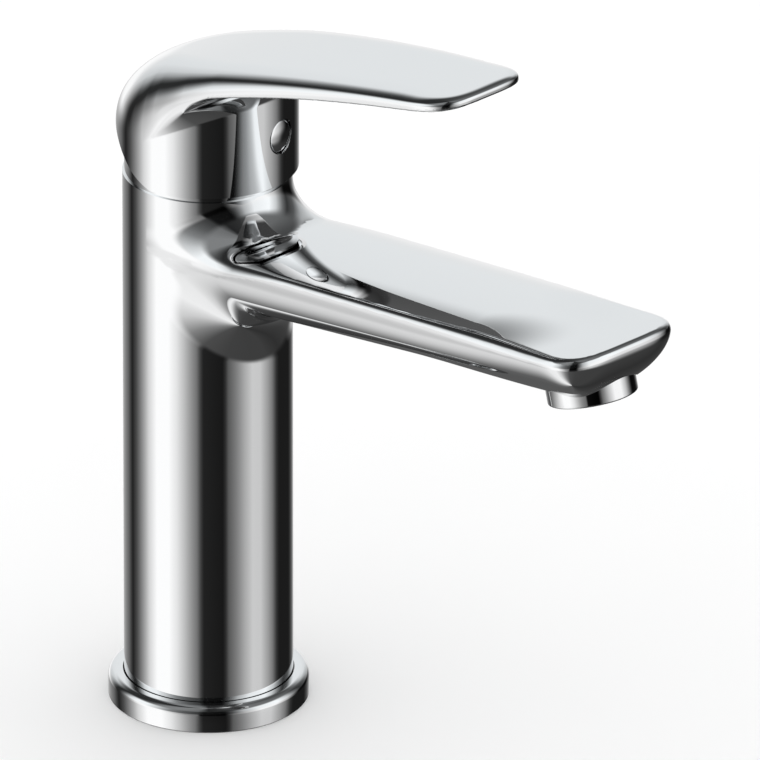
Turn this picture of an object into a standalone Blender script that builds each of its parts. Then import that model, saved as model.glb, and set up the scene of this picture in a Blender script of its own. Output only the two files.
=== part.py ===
"""Single-lever basin mixer, modelled as the pieces it comes apart into.

Frame: +Z up, the spout points along -Y, the column's axis is the Z axis and the face that
stands on the basin is the plane z = 0.  Run it with blender --background --python part.py
or from Blender's text editor.
"""

from math import asin, cos, hypot, pi, radians, sin, sqrt

import bmesh
import bpy
from mathutils import Matrix, Vector

MM = 0.001
GAP = 0.3 * MM                       # clearance between neighbouring pieces
MERGE = 0.00001

# ---------------------------------------------------------------- driving dimensions
COLUMN_R = 22.5 * MM
COLUMN_TOP = 150.9 * MM
BASE_RING_R = 26.7 * MM
BASE_RING_H = 7.2 * MM
NECK_R = 22.0 * MM
HANDLE_R = 24.2 * MM
HANDLE_RIM = 154.2 * MM              # lower edge of the handle
DOME_SPRING = 165.0 * MM             # where the dome starts to curve in, at the back
DOME_FULLNESS = 2.5
DOME_TOP = 188.2 * MM                # height of the dome over the column's axis
LEVER_REACH = 104.4 * MM
LEVER_SLOPE = 0.285                  # over the axis; it eases off towards the tip
LEVER_EASE = 0.83                    # per metre
SPOUT_REACH = 156.8 * MM
SPOUT_TOP_AT_AXIS = 137.3 * MM       # the top plane of the spout, carried back to the axis
SPOUT_TOP_SLOPE = 0.095
SPOUT_BOTTOM_AT_AXIS = 118.4 * MM
SPOUT_BOTTOM_SLOPE = 0.134
AERATOR_R = 12.05 * MM
AERATOR_TILT = radians(14.9)         # the jet leans away from the column
AERATOR_FORWARD = 143.0 * MM
AERATOR_RIM_Z = 132.7 * MM
PIVOT_Z = 154.0 * MM                 # pin on which the lever lifts
LIFT_ARM = 7.4 * MM                  # from that pin down to the spindle's foot

# ---------------------------------------------------------------- body and seat
SEAT_Z = 128.0 * MM                  # floor that the cartridge stands on
SEAT_BLOCK_BOTTOM = 110.0 * MM
CHAMBER_R = 17.7 * MM
NUT_BORE_R = 19.5 * MM
NUT_SEAT_Z = 146.0 * MM
CAVITY_R = 19.3 * MM                 # hollow column, where the hoses run
PORT_R = 2.2 * MM
INLET_SIDE = 7.8 * MM                # inlets stand this far either side of the middle
INLET_FORWARD = 2.3 * MM
OUTLET_BACK = 6.5 * MM
HOSE_PORT_R = 4.5 * MM               # tapped M10 for the hose ends
HOSE_PORT_TOP = 115.5 * MM
HOSE_PORT_SIDE = 9.0 * MM
WATERWAY_R = 3.9 * MM
# The waterway's bends, as (ahead, up) in millimetres
WATERWAY = ((-6.5, 130.0), (-6.5, 124.5), (-3.5, 120.4), (3.0, 119.4), (11.0, 119.8), (18.0, 122.4),
            (25.0, 127.6), (33.0, 131.8), (46.0, 134.0), (75.0, 136.8), (110.0, 140.2), (134.0, 142.4))
POCKET_R = 12.5 * MM                 # recess in the spout for the aerator
POCKET_DEEP = 12.6 * MM
POCKET_BEVEL = 1.3 * MM
HOSE_HOLE_R = 5.6 * MM               # in the foot plate
HOSE_HOLE_SIDE = 9.6 * MM
STUD_HOLE_R = 3.4 * MM
STUD_BACK = 11.5 * MM
FOOT_PLATE_H = 6.0 * MM
GASKET_INNER = 24.0 * MM
GASKET_OUTER = 25.1 * MM
GASKET_H = 1.2 * MM
OVER = 5 * MM                        # how far a cutter runs past what it cuts

# ---------------------------------------------------------------- cartridge
CARTRIDGE_BASE_R = 17.2 * MM
CARTRIDGE_BASE_TOP = 133.6 * MM
FIXED_DISC_R = 14.6 * MM
MOVING_DISC_R = 12.2 * MM
MOVING_DISC_BACK = 1.6 * MM
DISC_THICK = 3.4 * MM
OUTLET_R = 3.0 * MM
SEAL_THICK = 0.5 * MM                # radius of a port seal's section
SEAL_OUT = 0.45 * MM                 # how far it lies outside its port
SEAL_GROOVE_R = 1.9 * MM             # added to the port's radius
SEAL_GROOVE_DEEP = 1.1 * MM
HOUSING_TOP = 159.6 * MM
NUT_LOW = 148.9 * MM
NUT_TOP = 156.0 * MM
NUT_R = 17.6 * MM
NUT_INNER = 15.6 * MM
CAP_SPHERE_R = 22.15 * MM
CAP_WALL = 1.7 * MM
CAP_HOLE_R = 15.7 * MM
CAP_TOP = 166.6 * MM
ROTOR_R = 12.8 * MM
ROTOR_LOW = 147.4 * MM
ROTOR_TOP = 158.3 * MM
CARRIER_TOP = 147.0 * MM
PIN_R = 1.15 * MM
PIN_BORE_R = 1.5 * MM
PIN_HALF = 11 * MM
FOOT_R = 2.2 * MM                    # the spindle's foot, which moves the carrier
FOOT_Z = PIVOT_Z - LIFT_ARM
SPINDLE_HALF = 3.0 * MM
SPINDLE_TOP = 175.0 * MM
BUSH_HALF = 4.4 * MM
BUSH_LOW = 165.0 * MM
BUSH_TOP = 176.4 * MM

# ---------------------------------------------------------------- spout shape
SPOUT_HALF_ROOT = 21.6 * MM
SPOUT_HALF_TIP = 20.9 * MM
SPOUT_EDGE_R = 2.0 * MM
SPOUT_ROOT_FILLET = 10.0 * MM        # on top, between spout and column
SPOUT_UNDER_FILLET = 9.0 * MM
SPOUT_BOW_START = 136.0 * MM         # where the underside starts to sweep up to the tip
SPOUT_BOW_FULLNESS = 2.3
SPOUT_FULLNESS = 2.7                 # exponent of the section's lower half
SPOUT_FULLNESS_TIP = 2.3
SPOUT_CORNER = 9.0 * MM
SPOUT_FRONT_HALF = 8.0 * MM

# ---------------------------------------------------------------- lever shape
LEVER_HALF_TIP = 16.7 * MM
LEVER_SWELL = 0.1 * MM               # how far the sides stand off a straight taper
LEVER_CORNER = 9.0 * MM
LEVER_FRONT_HALF = 7.0 * MM
# Along the lever, as (distance ahead of the axis, size)
LEVER_THICKNESS = ((12 * MM, 8.8 * MM), (21 * MM, 6.8 * MM), (40 * MM, 4.6 * MM), (76 * MM, 3.9 * MM),
                   (105 * MM, 2.6 * MM))
EDGE_DROP = ((-12 * MM, 12.5 * MM), (0.0, 7.5 * MM), (8 * MM, 4.0 * MM), (20 * MM, 3.0 * MM),
             (40 * MM, 2.0 * MM), (100 * MM, 0.8 * MM))
EDGE_RUN = ((-12 * MM, 14.0 * MM), (0.0, 10.0 * MM), (10 * MM, 6.5 * MM), (20 * MM, 5.0 * MM),
            (40 * MM, 4.0 * MM), (100 * MM, 1.6 * MM))
UNDER_LEVER_START = 3.0 * MM         # ahead of this the lever stands free of the dome
LEVER_FILLET_R = 4.0 * MM
# The handle's lower edge, as (ahead, up) in millimetres: it rises towards the back
BACK_CUT = ((5.0, 150.0), (5.0, 153.2), (1.9, 154.5), (-3.9, 157.2), (-12.7, 163.7), (-30.0, 177.0),
            (-34.0, 150.0))
HANDLE_CAVITY_R = 22.9 * MM
HANDLE_CAVITY_SPRING = 160.0 * MM
HANDLE_CAVITY_TOP = 178.5 * MM
HUB_R = 8.4 * MM
HUB_LOW = 164.6 * MM
PLUG_Z = 167.7 * MM
PLUG_R = 4.5 * MM
PLUG_HOLE_R = 4.85 * MM
PLUG_SIDE = radians(9.5)             # the plug looks this far off straight ahead
GRUB_R = 2.3 * MM
GRUB_BORE_R = 2.6 * MM

# ---------------------------------------------------------------- aerator
AERATOR_TALL = 10.6 * MM
AERATOR_BORE_R = 10.45 * MM
AERATOR_LIP_R = 10.0 * MM
PLATE_R = 8.6 * MM
# Perforated plates: name, height, thickness, hole radius, holes, their circle's radius
PLATES = (("aerator_grid", 2.0 * MM, 1.2 * MM, 1.5 * MM, 6, 5.2 * MM),
          ("aerator_diffuser", 5.4 * MM, 1.0 * MM, 0.8 * MM, 8, 5.8 * MM))

# ---------------------------------------------------------------- facets
ROUND = 48
SMALL_ROUND = 32
TINY_ROUND = 20
PORT_ROUND = 16

COLLECTION = "basin_mixer"
CUTTERS = "cutters"


# ================================================================ general helpers
def at(side, forward, up):
    """A point by its distance to the side, ahead along the spout, and up."""
    return Vector((side, -forward, up))


def clear_scene():
    for obj in list(bpy.data.objects):
        bpy.data.objects.remove(obj, do_unlink=True)
    for name in (COLLECTION, CUTTERS):
        collection = bpy.data.collections.new(name)
        bpy.context.scene.collection.children.link(collection)


def material(name, colour, roughness, metallic):
    mat = bpy.data.materials.new(name)
    mat.use_nodes = True
    shader = mat.node_tree.nodes["Principled BSDF"]
    shader.inputs["Base Color"].default_value = (*colour, 1.0)
    shader.inputs["Roughness"].default_value = roughness
    shader.inputs["Metallic"].default_value = metallic
    mat.diffuse_color = (*colour, 1.0)
    return mat


def make_materials():
    return {
        "chrome": material("chrome", (0.86, 0.87, 0.88), 0.06, 1.0),
        "brass": material("brass", (0.72, 0.55, 0.26), 0.30, 1.0),
        "steel": material("steel", (0.62, 0.63, 0.64), 0.28, 1.0),
        "ceramic": material("ceramic", (0.86, 0.85, 0.82), 0.22, 0.0),
        "plastic_white": material("plastic_white", (0.84, 0.85, 0.84), 0.45, 0.0),
        "plastic_grey": material("plastic_grey", (0.30, 0.31, 0.33), 0.50, 0.0),
        "rubber": material("rubber", (0.03, 0.03, 0.03), 0.75, 0.0),
    }


def link(obj, mat=None, cutter=False):
    bpy.data.collections[CUTTERS if cutter else COLLECTION].objects.link(obj)
    if cutter:
        obj.hide_render = True
        obj.display_type = "WIRE"
    if mat is not None:
        obj.data.materials.append(mat)
    return obj


def from_bmesh(name, bm, mat=None, cutter=False):
    bmesh.ops.recalc_face_normals(bm, faces=bm.faces)
    mesh = bpy.data.meshes.new(name)
    bm.to_mesh(mesh)
    bm.free()
    return link(bpy.data.objects.new(name, mesh), mat, cutter)


def turned(name, profile, mat=None, steps=ROUND, closed=True, cutter=False, placing=None):
    """A turned piece.  The profile is a list of (radius, height); its outer side runs down."""
    mesh = bpy.data.meshes.new(name)
    edges = [(i, i + 1) for i in range(len(profile) - 1)]
    if closed:
        edges.append((len(profile) - 1, 0))
    mesh.from_pydata([(r, 0.0, z) for r, z in profile], edges, [])
    obj = link(bpy.data.objects.new(name, mesh), mat, cutter)
    screw = obj.modifiers.new("turn", "SCREW")
    screw.steps = steps
    screw.render_steps = steps
    screw.use_merge_vertices = True
    screw.merge_threshold = MERGE
    screw.use_smooth_shade = False
    if placing is not None:
        obj.matrix_world = placing
    return obj


def ring(name, inner, outer, low, high, mat=None, steps=SMALL_ROUND, cutter=False, placing=None):
    profile = [(inner, high), (outer, high), (outer, low), (inner, low)]
    return turned(name, profile, mat, steps, True, cutter, placing)


def rod(name, radius, start, end, mat=None, sides=TINY_ROUND, cutter=False, end_radius=None):
    """A round bar, or a cone, from one point to another."""
    start, end = Vector(start), Vector(end)
    run = end - start
    turn = run.to_track_quat("Z", "Y").to_matrix().to_4x4()
    placing = Matrix.Translation((start + end) / 2) @ turn
    bm = bmesh.new()
    bmesh.ops.create_cone(
        bm, cap_ends=True, segments=sides, radius1=radius,
        radius2=radius if end_radius is None else end_radius,
        depth=run.length, matrix=placing,
    )
    return from_bmesh(name, bm, mat, cutter)


def block(name, size, centre, mat=None, cutter=False, turn=None):
    bm = bmesh.new()
    placing = Matrix.Translation(centre)
    if turn is not None:
        placing = placing @ turn
    bmesh.ops.create_cube(bm, size=1.0, matrix=placing @ Matrix.Diagonal((*size, 1.0)))
    return from_bmesh(name, bm, mat, cutter)


def torus_profile(radius, height, thick, sides=10):
    """The round section of an O-ring, as a profile to be turned."""
    step = 2 * pi / sides
    return [
        (radius + thick * cos(pi / 2 - i * step), height + thick * sin(pi / 2 - i * step))
        for i in range(sides)
    ]


def side_prism(name, outline, half_width, cutter=True):
    """An outline of (forward, up) points, extruded to both sides of the middle."""
    bm = bmesh.new()
    loops = [[bm.verts.new(at(side, f, z)) for f, z in outline] for side in (-half_width, half_width)]
    skin(bm, loops)
    return from_bmesh(name, bm, None, cutter)


def skin(bm, loops):
    """Joins loops of equal length with quads and closes both ends."""
    count = len(loops[0])
    for near, far in zip(loops, loops[1:]):
        for i in range(count):
            j = (i + 1) % count
            bm.faces.new((near[i], near[j], far[j], far[i]))
    bm.faces.new(loops[0])
    bm.faces.new(loops[-1])


def loft(name, sections, mat=None, cutter=False):
    bm = bmesh.new()
    loops = [[bm.verts.new(point) for point in section] for section in sections]
    skin(bm, loops)
    return from_bmesh(name, bm, mat, cutter)


def combine(obj, other, operation):
    modifier = obj.modifiers.new(other.name, "BOOLEAN")
    modifier.operation = operation
    modifier.solver = "EXACT"
    modifier.object = other


def cut(obj, *cutters):
    for cutter in cutters:
        combine(obj, cutter, "DIFFERENCE")


def add(obj, *others):
    for other in others:
        combine(obj, other, "UNION")


def pipe(name, points, radius, cutter=True):
    """A round bar along a smooth path, made a mesh so that it can cut."""
    curve = bpy.data.curves.new(name, "CURVE")
    curve.dimensions = "3D"
    curve.bevel_depth = radius
    curve.bevel_resolution = 2
    curve.use_fill_caps = True
    spline = curve.splines.new("POLY")
    spline.points.add(len(points) - 1)
    for spot, point in zip(spline.points, points):
        spot.co = (*point, 1.0)
    guide = link(bpy.data.objects.new(name + "_path", curve), None, True)
    bpy.context.view_layer.update()
    graph = bpy.context.evaluated_depsgraph_get()
    mesh = bpy.data.meshes.new_from_object(guide.evaluated_get(graph))
    bm = bmesh.new()
    bm.from_mesh(mesh)
    bmesh.ops.remove_doubles(bm, verts=bm.verts, dist=MERGE)
    bpy.data.objects.remove(guide, do_unlink=True)
    return from_bmesh(name, bm, None, cutter)


def smooth_path(points, per_span=4):
    """A Catmull-Rom curve through (forward, up) points."""
    ends = [points[0]] + list(points) + [points[-1]]
    path = []
    for a, b, c, d in zip(ends, ends[1:], ends[2:], ends[3:]):
        for i in range(per_span):
            t = i / per_span
            path.append(tuple(
                0.5 * (2 * q + (r - p) * t + (2 * p - 5 * q + 4 * r - s) * t * t
                       + (3 * q - p - 3 * r + s) * t ** 3)
                for p, q, r, s in zip(a, b, c, d)
            ))
    path.append(points[-1])
    return path


def graded(stops, where):
    """Straight runs between (place, size) stops, level beyond the ends."""
    if where <= stops[0][0]:
        return stops[0][1]
    for (near, low), (far, high) in zip(stops, stops[1:]):
        if where <= far:
            return blend(low, high, (where - near) / (far - near))
    return stops[-1][1]


def blend(low, high, t):
    return low + (high - low) * min(max(t, 0.0), 1.0)


# ================================================================ the spout's form
def spout_half_width(forward):
    side = blend(SPOUT_HALF_ROOT, SPOUT_HALF_TIP, forward / SPOUT_REACH)
    into = (forward - (SPOUT_REACH - SPOUT_CORNER)) / SPOUT_CORNER
    if into <= 0:
        return side
    return SPOUT_FRONT_HALF + (side - SPOUT_FRONT_HALF) * sqrt(max(0.0, 1 - into ** 2.6))


def fillet_rise(side, forward, radius):
    """How far a fillet of this radius stands off a plane that meets the column there."""
    out = hypot(side, forward) - COLUMN_R
    if out >= radius:
        return 0.0
    out = max(out, 0.0)
    return radius - sqrt(radius ** 2 - (radius - out) ** 2)


def spout_top(forward):
    return SPOUT_TOP_AT_AXIS + SPOUT_TOP_SLOPE * forward


def spout_bottom(forward):
    plain = SPOUT_BOTTOM_AT_AXIS + SPOUT_BOTTOM_SLOPE * forward
    into = (forward - SPOUT_BOW_START) / (SPOUT_REACH - SPOUT_BOW_START)
    if into <= 0:
        return plain
    sweep = 1 - max(0.0, 1 - into ** SPOUT_BOW_FULLNESS) ** (1 / SPOUT_BOW_FULLNESS)
    return blend(plain, spout_top(forward) - 2 * MM, sweep)


def spout_section(forward, across=6, corner=3, under=9):
    """Half a section from the middle of the top round to the middle of the underside."""
    half = spout_half_width(forward)
    top, bottom = spout_top(forward), spout_bottom(forward)
    edge = min(SPOUT_EDGE_R, 0.4 * (top - bottom))
    points = [(half - edge) * i / across for i in range(across + 1)]
    points = [(x, top + fillet_rise(x, forward, SPOUT_ROOT_FILLET)) for x in points]
    for i in range(1, corner + 1):
        turn = (pi / 2) * i / corner
        x = half - edge + edge * sin(turn)
        rise = fillet_rise(x, forward, SPOUT_ROOT_FILLET)
        points.append((x, top + rise - edge * (1 - cos(turn))))
    depth = top - edge - bottom
    fullness = blend(SPOUT_FULLNESS, SPOUT_FULLNESS_TIP,
                     (forward - SPOUT_BOW_START) / (SPOUT_REACH - SPOUT_BOW_START))
    for i in range(1, under + 1):
        turn = (pi / 2) * i / under
        x = half * cos(turn) ** (2 / fullness)
        z = top - edge - depth * sin(turn) ** (2 / fullness)
        points.append((x, z - sqrt(sin(turn)) * fillet_rise(x, forward, SPOUT_UNDER_FILLET)))
    mirrored = [(-x, z) for x, z in reversed(points[1:-1])]
    return [at(x, forward, z) for x, z in points + mirrored]


def spout_blank():
    stations = [8, 12, 15, 18, 20.5, 22.4, 23.4, 25, 27.5, 31, 36, 60, 95, 125, 136, 141, 145.5, 149,
                152, 154, 155.5, 156.4, 156.8]
    return loft("spout_blank", [spout_section(s * MM) for s in stations], cutter=True)


# ================================================================ the body
def aerator_frame():
    """Places a turned piece on the jet's axis: its +Z points up into the spout."""
    rim = at(0.0, AERATOR_FORWARD, AERATOR_RIM_Z)
    return Matrix.Translation(rim) @ Matrix.Rotation(-AERATOR_TILT, 4, "X")


def waterway_path():
    """Down from the seat, forward between the inlets and up along the spout."""
    route = [(f * MM, z * MM) for f, z in WATERWAY]
    return [at(0.0, f, z) for f, z in smooth_path(route, 3)]


def make_body(mats):
    edge = 0.4 * MM
    column = [
        (0.0, COLUMN_TOP), (COLUMN_R - edge, COLUMN_TOP), (COLUMN_R, COLUMN_TOP - edge),
        (COLUMN_R, 0.0), (0.0, 0.0),
    ]
    body = turned("body", column, mats["chrome"], ROUND, closed=False)
    chamber = [
        (0.0, COLUMN_TOP + OVER), (NUT_BORE_R, COLUMN_TOP + OVER), (NUT_BORE_R, NUT_SEAT_Z),
        (CHAMBER_R, NUT_SEAT_Z), (CHAMBER_R, SEAT_Z), (0.0, SEAT_Z),
    ]
    hollow = [(0.0, SEAT_BLOCK_BOTTOM), (CAVITY_R, SEAT_BLOCK_BOTTOM), (CAVITY_R, -OVER), (0.0, -OVER)]
    add(body, spout_blank())
    for side, label in ((-1, "hot"), (1, "cold")):
        low, high = SEAT_BLOCK_BOTTOM - OVER, HOSE_PORT_TOP
        port = rod(label + "_port_cutter", HOSE_PORT_R, at(side * HOSE_PORT_SIDE, INLET_FORWARD, low),
                   at(side * HOSE_PORT_SIDE, INLET_FORWARD, high), cutter=True)
        inlet = rod(label + "_inlet_cutter", PORT_R, at(side * INLET_SIDE, INLET_FORWARD, high - OVER),
                    at(side * INLET_SIDE, INLET_FORWARD, SEAT_Z + OVER), sides=PORT_ROUND, cutter=True)
        cut(body, port, inlet)
    cut(body, pipe("waterway_cutter", waterway_path(), WATERWAY_R))
    cut(body, turned("chamber_cutter", chamber, steps=SMALL_ROUND, closed=False, cutter=True))
    cut(body, turned("hollow_cutter", hollow, steps=SMALL_ROUND, closed=False, cutter=True))
    pocket = [
        (0.0, POCKET_DEEP), (POCKET_R - POCKET_BEVEL, POCKET_DEEP), (POCKET_R, POCKET_DEEP - POCKET_BEVEL),
        (POCKET_R, -2 * OVER), (0.0, -2 * OVER),
    ]
    cut(body, turned("aerator_pocket_cutter", pocket, steps=SMALL_ROUND, closed=False, cutter=True,
                     placing=aerator_frame()))
    return body


def make_base(mats):
    """The base ring, its two seals and the threaded foot plate."""
    round_over = 2.2 * MM
    inner = COLUMN_R + GAP
    profile = [(inner, BASE_RING_H)]
    for i in range(6):
        turn = (pi / 2) * i / 5
        profile.append((BASE_RING_R - round_over * (1 - sin(turn)),
                        BASE_RING_H - round_over * (1 - cos(turn))))
    groove_low, groove_high, groove_deep = 2.6 * MM, 4.6 * MM, 24.4 * MM
    seat_out, seat_in, seat_h = GASKET_OUTER + GAP, GASKET_INNER - GAP, GASKET_H + GAP
    bevel = 0.3 * MM
    profile += [
        (BASE_RING_R, bevel), (BASE_RING_R - bevel, 0.0), (seat_out, 0.0), (seat_out, seat_h),
        (seat_in, seat_h), (seat_in, 0.0), (inner, 0.0),
        (inner, groove_low), (groove_deep, groove_low), (groove_deep, groove_high), (inner, groove_high),
    ]
    turned("base_ring", profile, mats["chrome"], ROUND)
    ring("base_gasket", GASKET_INNER, GASKET_OUTER, 0.0, GASKET_H, mats["rubber"], ROUND)
    turned("base_ring_oring", torus_profile(23.5 * MM, 3.6 * MM, 0.65 * MM), mats["rubber"], SMALL_ROUND)
    plate_r, chamfer = CAVITY_R - GAP, 0.5 * MM
    plate = turned(
        "foot_plate",
        [(0.0, FOOT_PLATE_H), (plate_r - chamfer, FOOT_PLATE_H), (plate_r, FOOT_PLATE_H - chamfer),
         (plate_r, 0.0), (0.0, 0.0)],
        mats["brass"], SMALL_ROUND, closed=False,
    )
    low, high = -OVER, FOOT_PLATE_H + OVER
    for side, label in ((-1, "hot"), (1, "cold")):
        x = side * HOSE_HOLE_SIDE
        cut(plate, rod(label + "_hose_hole", HOSE_HOLE_R, at(x, 0, low), at(x, 0, high), cutter=True))
    cut(plate, rod("stud_hole", STUD_HOLE_R, at(0, -STUD_BACK, low), at(0, -STUD_BACK, high), cutter=True))


# ================================================================ the cartridge
def port_places():
    """The three ports seen from above: two inlets ahead, the outlet behind."""
    return [(-INLET_SIDE, INLET_FORWARD, PORT_R), (INLET_SIDE, INLET_FORWARD, PORT_R),
            (0.0, -OUTLET_BACK, OUTLET_R)]


def bore_ports(obj, low, high):
    for i, (side, forward, radius) in enumerate(port_places()):
        cut(obj, rod(f"{obj.name}_port_{i}", radius, at(side, forward, low), at(side, forward, high),
                     sides=PORT_ROUND, cutter=True))


def make_port_seals(group, height, mat):
    """An O-ring round each port."""
    for label, (side, forward, radius) in zip(("hot", "cold", "outlet"), port_places()):
        section = torus_profile(radius + SEAL_OUT + SEAL_THICK, height, SEAL_THICK, 8)
        turned(f"{group}_{label}", section, mat, PORT_ROUND, placing=Matrix.Translation(at(side, forward, 0)))


def make_cartridge_fixed(mats):
    """Base, seals, fixed disc and housing: they stay with the body."""
    base_low, base_high = SEAT_Z + GAP, CARTRIDGE_BASE_TOP
    base = turned("cartridge_base",
                  [(0.0, base_high), (CARTRIDGE_BASE_R, base_high), (CARTRIDGE_BASE_R, base_low),
                   (0.0, base_low)],
                  mats["plastic_white"], SMALL_ROUND, closed=False)
    bore_ports(base, base_low - MM, base_high + MM)
    for i, (side, forward, radius) in enumerate(port_places()):
        for label, low, high in (("seat", base_low - MM, base_low + SEAL_GROOVE_DEEP),
                                 ("disc", base_high - SEAL_GROOVE_DEEP, base_high + MM)):
            cut(base, rod(f"{label}_groove_{i}", radius + SEAL_GROOVE_R, at(side, forward, low),
                          at(side, forward, high), sides=PORT_ROUND, cutter=True))
    make_port_seals("seat_seal", SEAT_Z + 1.5 * SEAL_THICK, mats["rubber"])
    make_port_seals("disc_seal", base_high - 0.9 * SEAL_THICK, mats["rubber"])
    disc_low, disc_high = base_high + GAP, base_high + GAP + DISC_THICK
    disc = turned("fixed_ceramic_disc",
                  [(0.0, disc_high), (FIXED_DISC_R, disc_high), (FIXED_DISC_R, disc_low), (0.0, disc_low)],
                  mats["ceramic"], SMALL_ROUND, closed=False)
    bore_ports(disc, disc_low - MM, disc_high + MM)
    wide, narrow, wall_in, neck_in, lip_in = 17.3 * MM, 15.2 * MM, 15.0 * MM, 13.2 * MM, 11.5 * MM
    shoulder, slant, lip = 148.0 * MM, 0.65 * MM, 1.0 * MM
    profile = [
        (lip_in, HOUSING_TOP), (narrow, HOUSING_TOP), (narrow, shoulder + slant), (wide, shoulder),
        (wide, disc_low), (wall_in, disc_low), (wall_in, shoulder - slant), (neck_in, shoulder),
        (neck_in, HOUSING_TOP - lip), (lip_in, HOUSING_TOP - lip),
    ]
    turned("cartridge_housing", profile, mats["plastic_grey"], SMALL_ROUND)
    return disc_high


def make_nut_and_cap(mats):
    """What holds the cartridge down and what hides it."""
    flange_r, flange_top = NUT_BORE_R - GAP, 151.6 * MM
    nut = turned("retaining_nut",
                 [(NUT_INNER, NUT_TOP), (NUT_R, NUT_TOP), (NUT_R, flange_top), (flange_r, flange_top),
                  (flange_r, NUT_LOW), (NUT_INNER, NUT_LOW)],
                 mats["brass"], SMALL_ROUND)
    for i in range(4):
        turn = Matrix.Rotation(i * pi / 2, 4, "Z")
        notch = block(f"nut_notch_{i}", (3.2 * MM, 4.0 * MM, 3.0 * MM),
                      turn @ Vector((NUT_R, 0, NUT_TOP)), cutter=True, turn=turn)
        cut(nut, notch)
    limit_r, limit_top = NUT_R - 0.2 * MM, NUT_TOP + 2.2 * MM
    limit = ring("hot_limit_ring", NUT_INNER, limit_r, NUT_TOP + GAP, limit_top, mats["plastic_white"],
                 SMALL_ROUND)
    cut(limit, block("limit_notch", (3 * MM, 5 * MM, 2 * MM), (0, limit_r, limit_top), cutter=True))
    low, shoulder, inner_r = COLUMN_TOP + GAP, 157.0 * MM, 19.9 * MM
    steps = 5
    first, last = CAP_TOP - 0.8 * MM, shoulder + 1.4 * MM
    heights = [first + (last - first) * i / steps for i in range(steps + 1)]
    outer = [(sqrt(CAP_SPHERE_R ** 2 - (z - PIVOT_Z) ** 2), z) for z in heights]
    inner = [(r - CAP_WALL, z - CAP_WALL / 2) for r, z in reversed(outer)]
    profile = ([(CAP_HOLE_R, CAP_TOP), (CAP_HOLE_R + 1.5 * MM, CAP_TOP)] + outer
               + [(NECK_R, shoulder), (NECK_R, low), (inner_r, low), (inner_r, shoulder)]
               + inner[1:] + [(CAP_HOLE_R, CAP_TOP - 1.3 * MM)])
    turned("cover_cap", profile, mats["chrome"], ROUND)


def make_cartridge_moving(mats, turn_axis, disc_top):
    """Disc, carrier, rotor and pin: they turn with the handle, and the disc also slides."""
    disc_r = MOVING_DISC_R
    place = Matrix.Translation(at(0, -MOVING_DISC_BACK, 0))
    low = disc_top + GAP
    high = low + DISC_THICK
    disc = turned("moving_ceramic_disc", [(0, high), (disc_r, high), (disc_r, low), (0, low)],
                  mats["ceramic"], SMALL_ROUND, closed=False, placing=place)
    cut(disc, block("mixing_pocket", (18.6 * MM, 9.0 * MM, 4.0 * MM), at(0, -4.6 * MM, low), cutter=True))
    low = high + GAP
    carrier = turned("disc_carrier", [(0, CARRIER_TOP), (disc_r, CARRIER_TOP), (disc_r, low), (0, low)],
                     mats["plastic_grey"], SMALL_ROUND, closed=False, placing=place)
    deep, clear = 8 * MM, 0.45 * MM
    cut(carrier, block("foot_pocket", (3 * SPINDLE_HALF, 2 * (FOOT_R + clear), deep),
                       at(0, 0, FOOT_Z - FOOT_R - GAP + deep / 2), cutter=True))
    rotor = turned("rotor", [(0, ROTOR_TOP), (ROTOR_R, ROTOR_TOP), (ROTOR_R, ROTOR_LOW), (0, ROTOR_LOW)],
                   mats["plastic_white"], SMALL_ROUND, closed=False)
    cut(rotor, block("rotor_slot", (6.8 * MM, 15.0 * MM, 30 * MM), (0, 0, PIVOT_Z), cutter=True))
    cut(rotor, rod("pin_bore", PIN_BORE_R, (-ROTOR_R - OVER, 0, PIVOT_Z), (ROTOR_R + OVER, 0, PIVOT_Z),
                   sides=PORT_ROUND, cutter=True))
    pin = rod("pivot_pin", PIN_R, (-PIN_HALF, 0, PIVOT_Z), (PIN_HALF, 0, PIVOT_Z), mats["steel"], PORT_ROUND)
    for piece in (disc, carrier, rotor, pin):
        hang(piece, turn_axis)


def make_spindle(mats, lift_axis):
    """The steel spindle, from its foot in the carrier to the square under the handle."""
    half, through = SPINDLE_HALF, SPINDLE_HALF + OVER
    spindle = block("spindle", (2 * half, 2 * half, SPINDLE_TOP - FOOT_Z), (0, 0, (SPINDLE_TOP + FOOT_Z) / 2),
                    mats["steel"])
    cut(spindle, rod("spindle_bore", PIN_BORE_R, (-through, 0, PIVOT_Z), (through, 0, PIVOT_Z),
                     sides=PORT_ROUND, cutter=True))
    for label, forward in (("back", -1), ("front", 1)):
        waist = block("foot_relief_" + label, (9 * MM, 2 * MM, 6.0 * MM),
                      at(0, forward * 2.7 * MM, FOOT_Z), cutter=True)
        cut(spindle, waist)
    reach = 0.98 * half
    add(spindle, rod("spindle_foot", FOOT_R, (-reach, 0, FOOT_Z), (reach, 0, FOOT_Z), sides=PORT_ROUND,
                     cutter=True))
    bush = block("spindle_bush", (2 * BUSH_HALF, 2 * BUSH_HALF, BUSH_TOP - BUSH_LOW),
                 (0, 0, (BUSH_LOW + BUSH_TOP) / 2), mats["plastic_grey"])
    bore = 2 * (half + GAP)
    cut(bush, block("bush_bore", (bore, bore, 2 * (SPINDLE_TOP + GAP - BUSH_LOW)), (0, 0, BUSH_LOW),
                    cutter=True))
    hang(spindle, lift_axis)
    return bush


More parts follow.
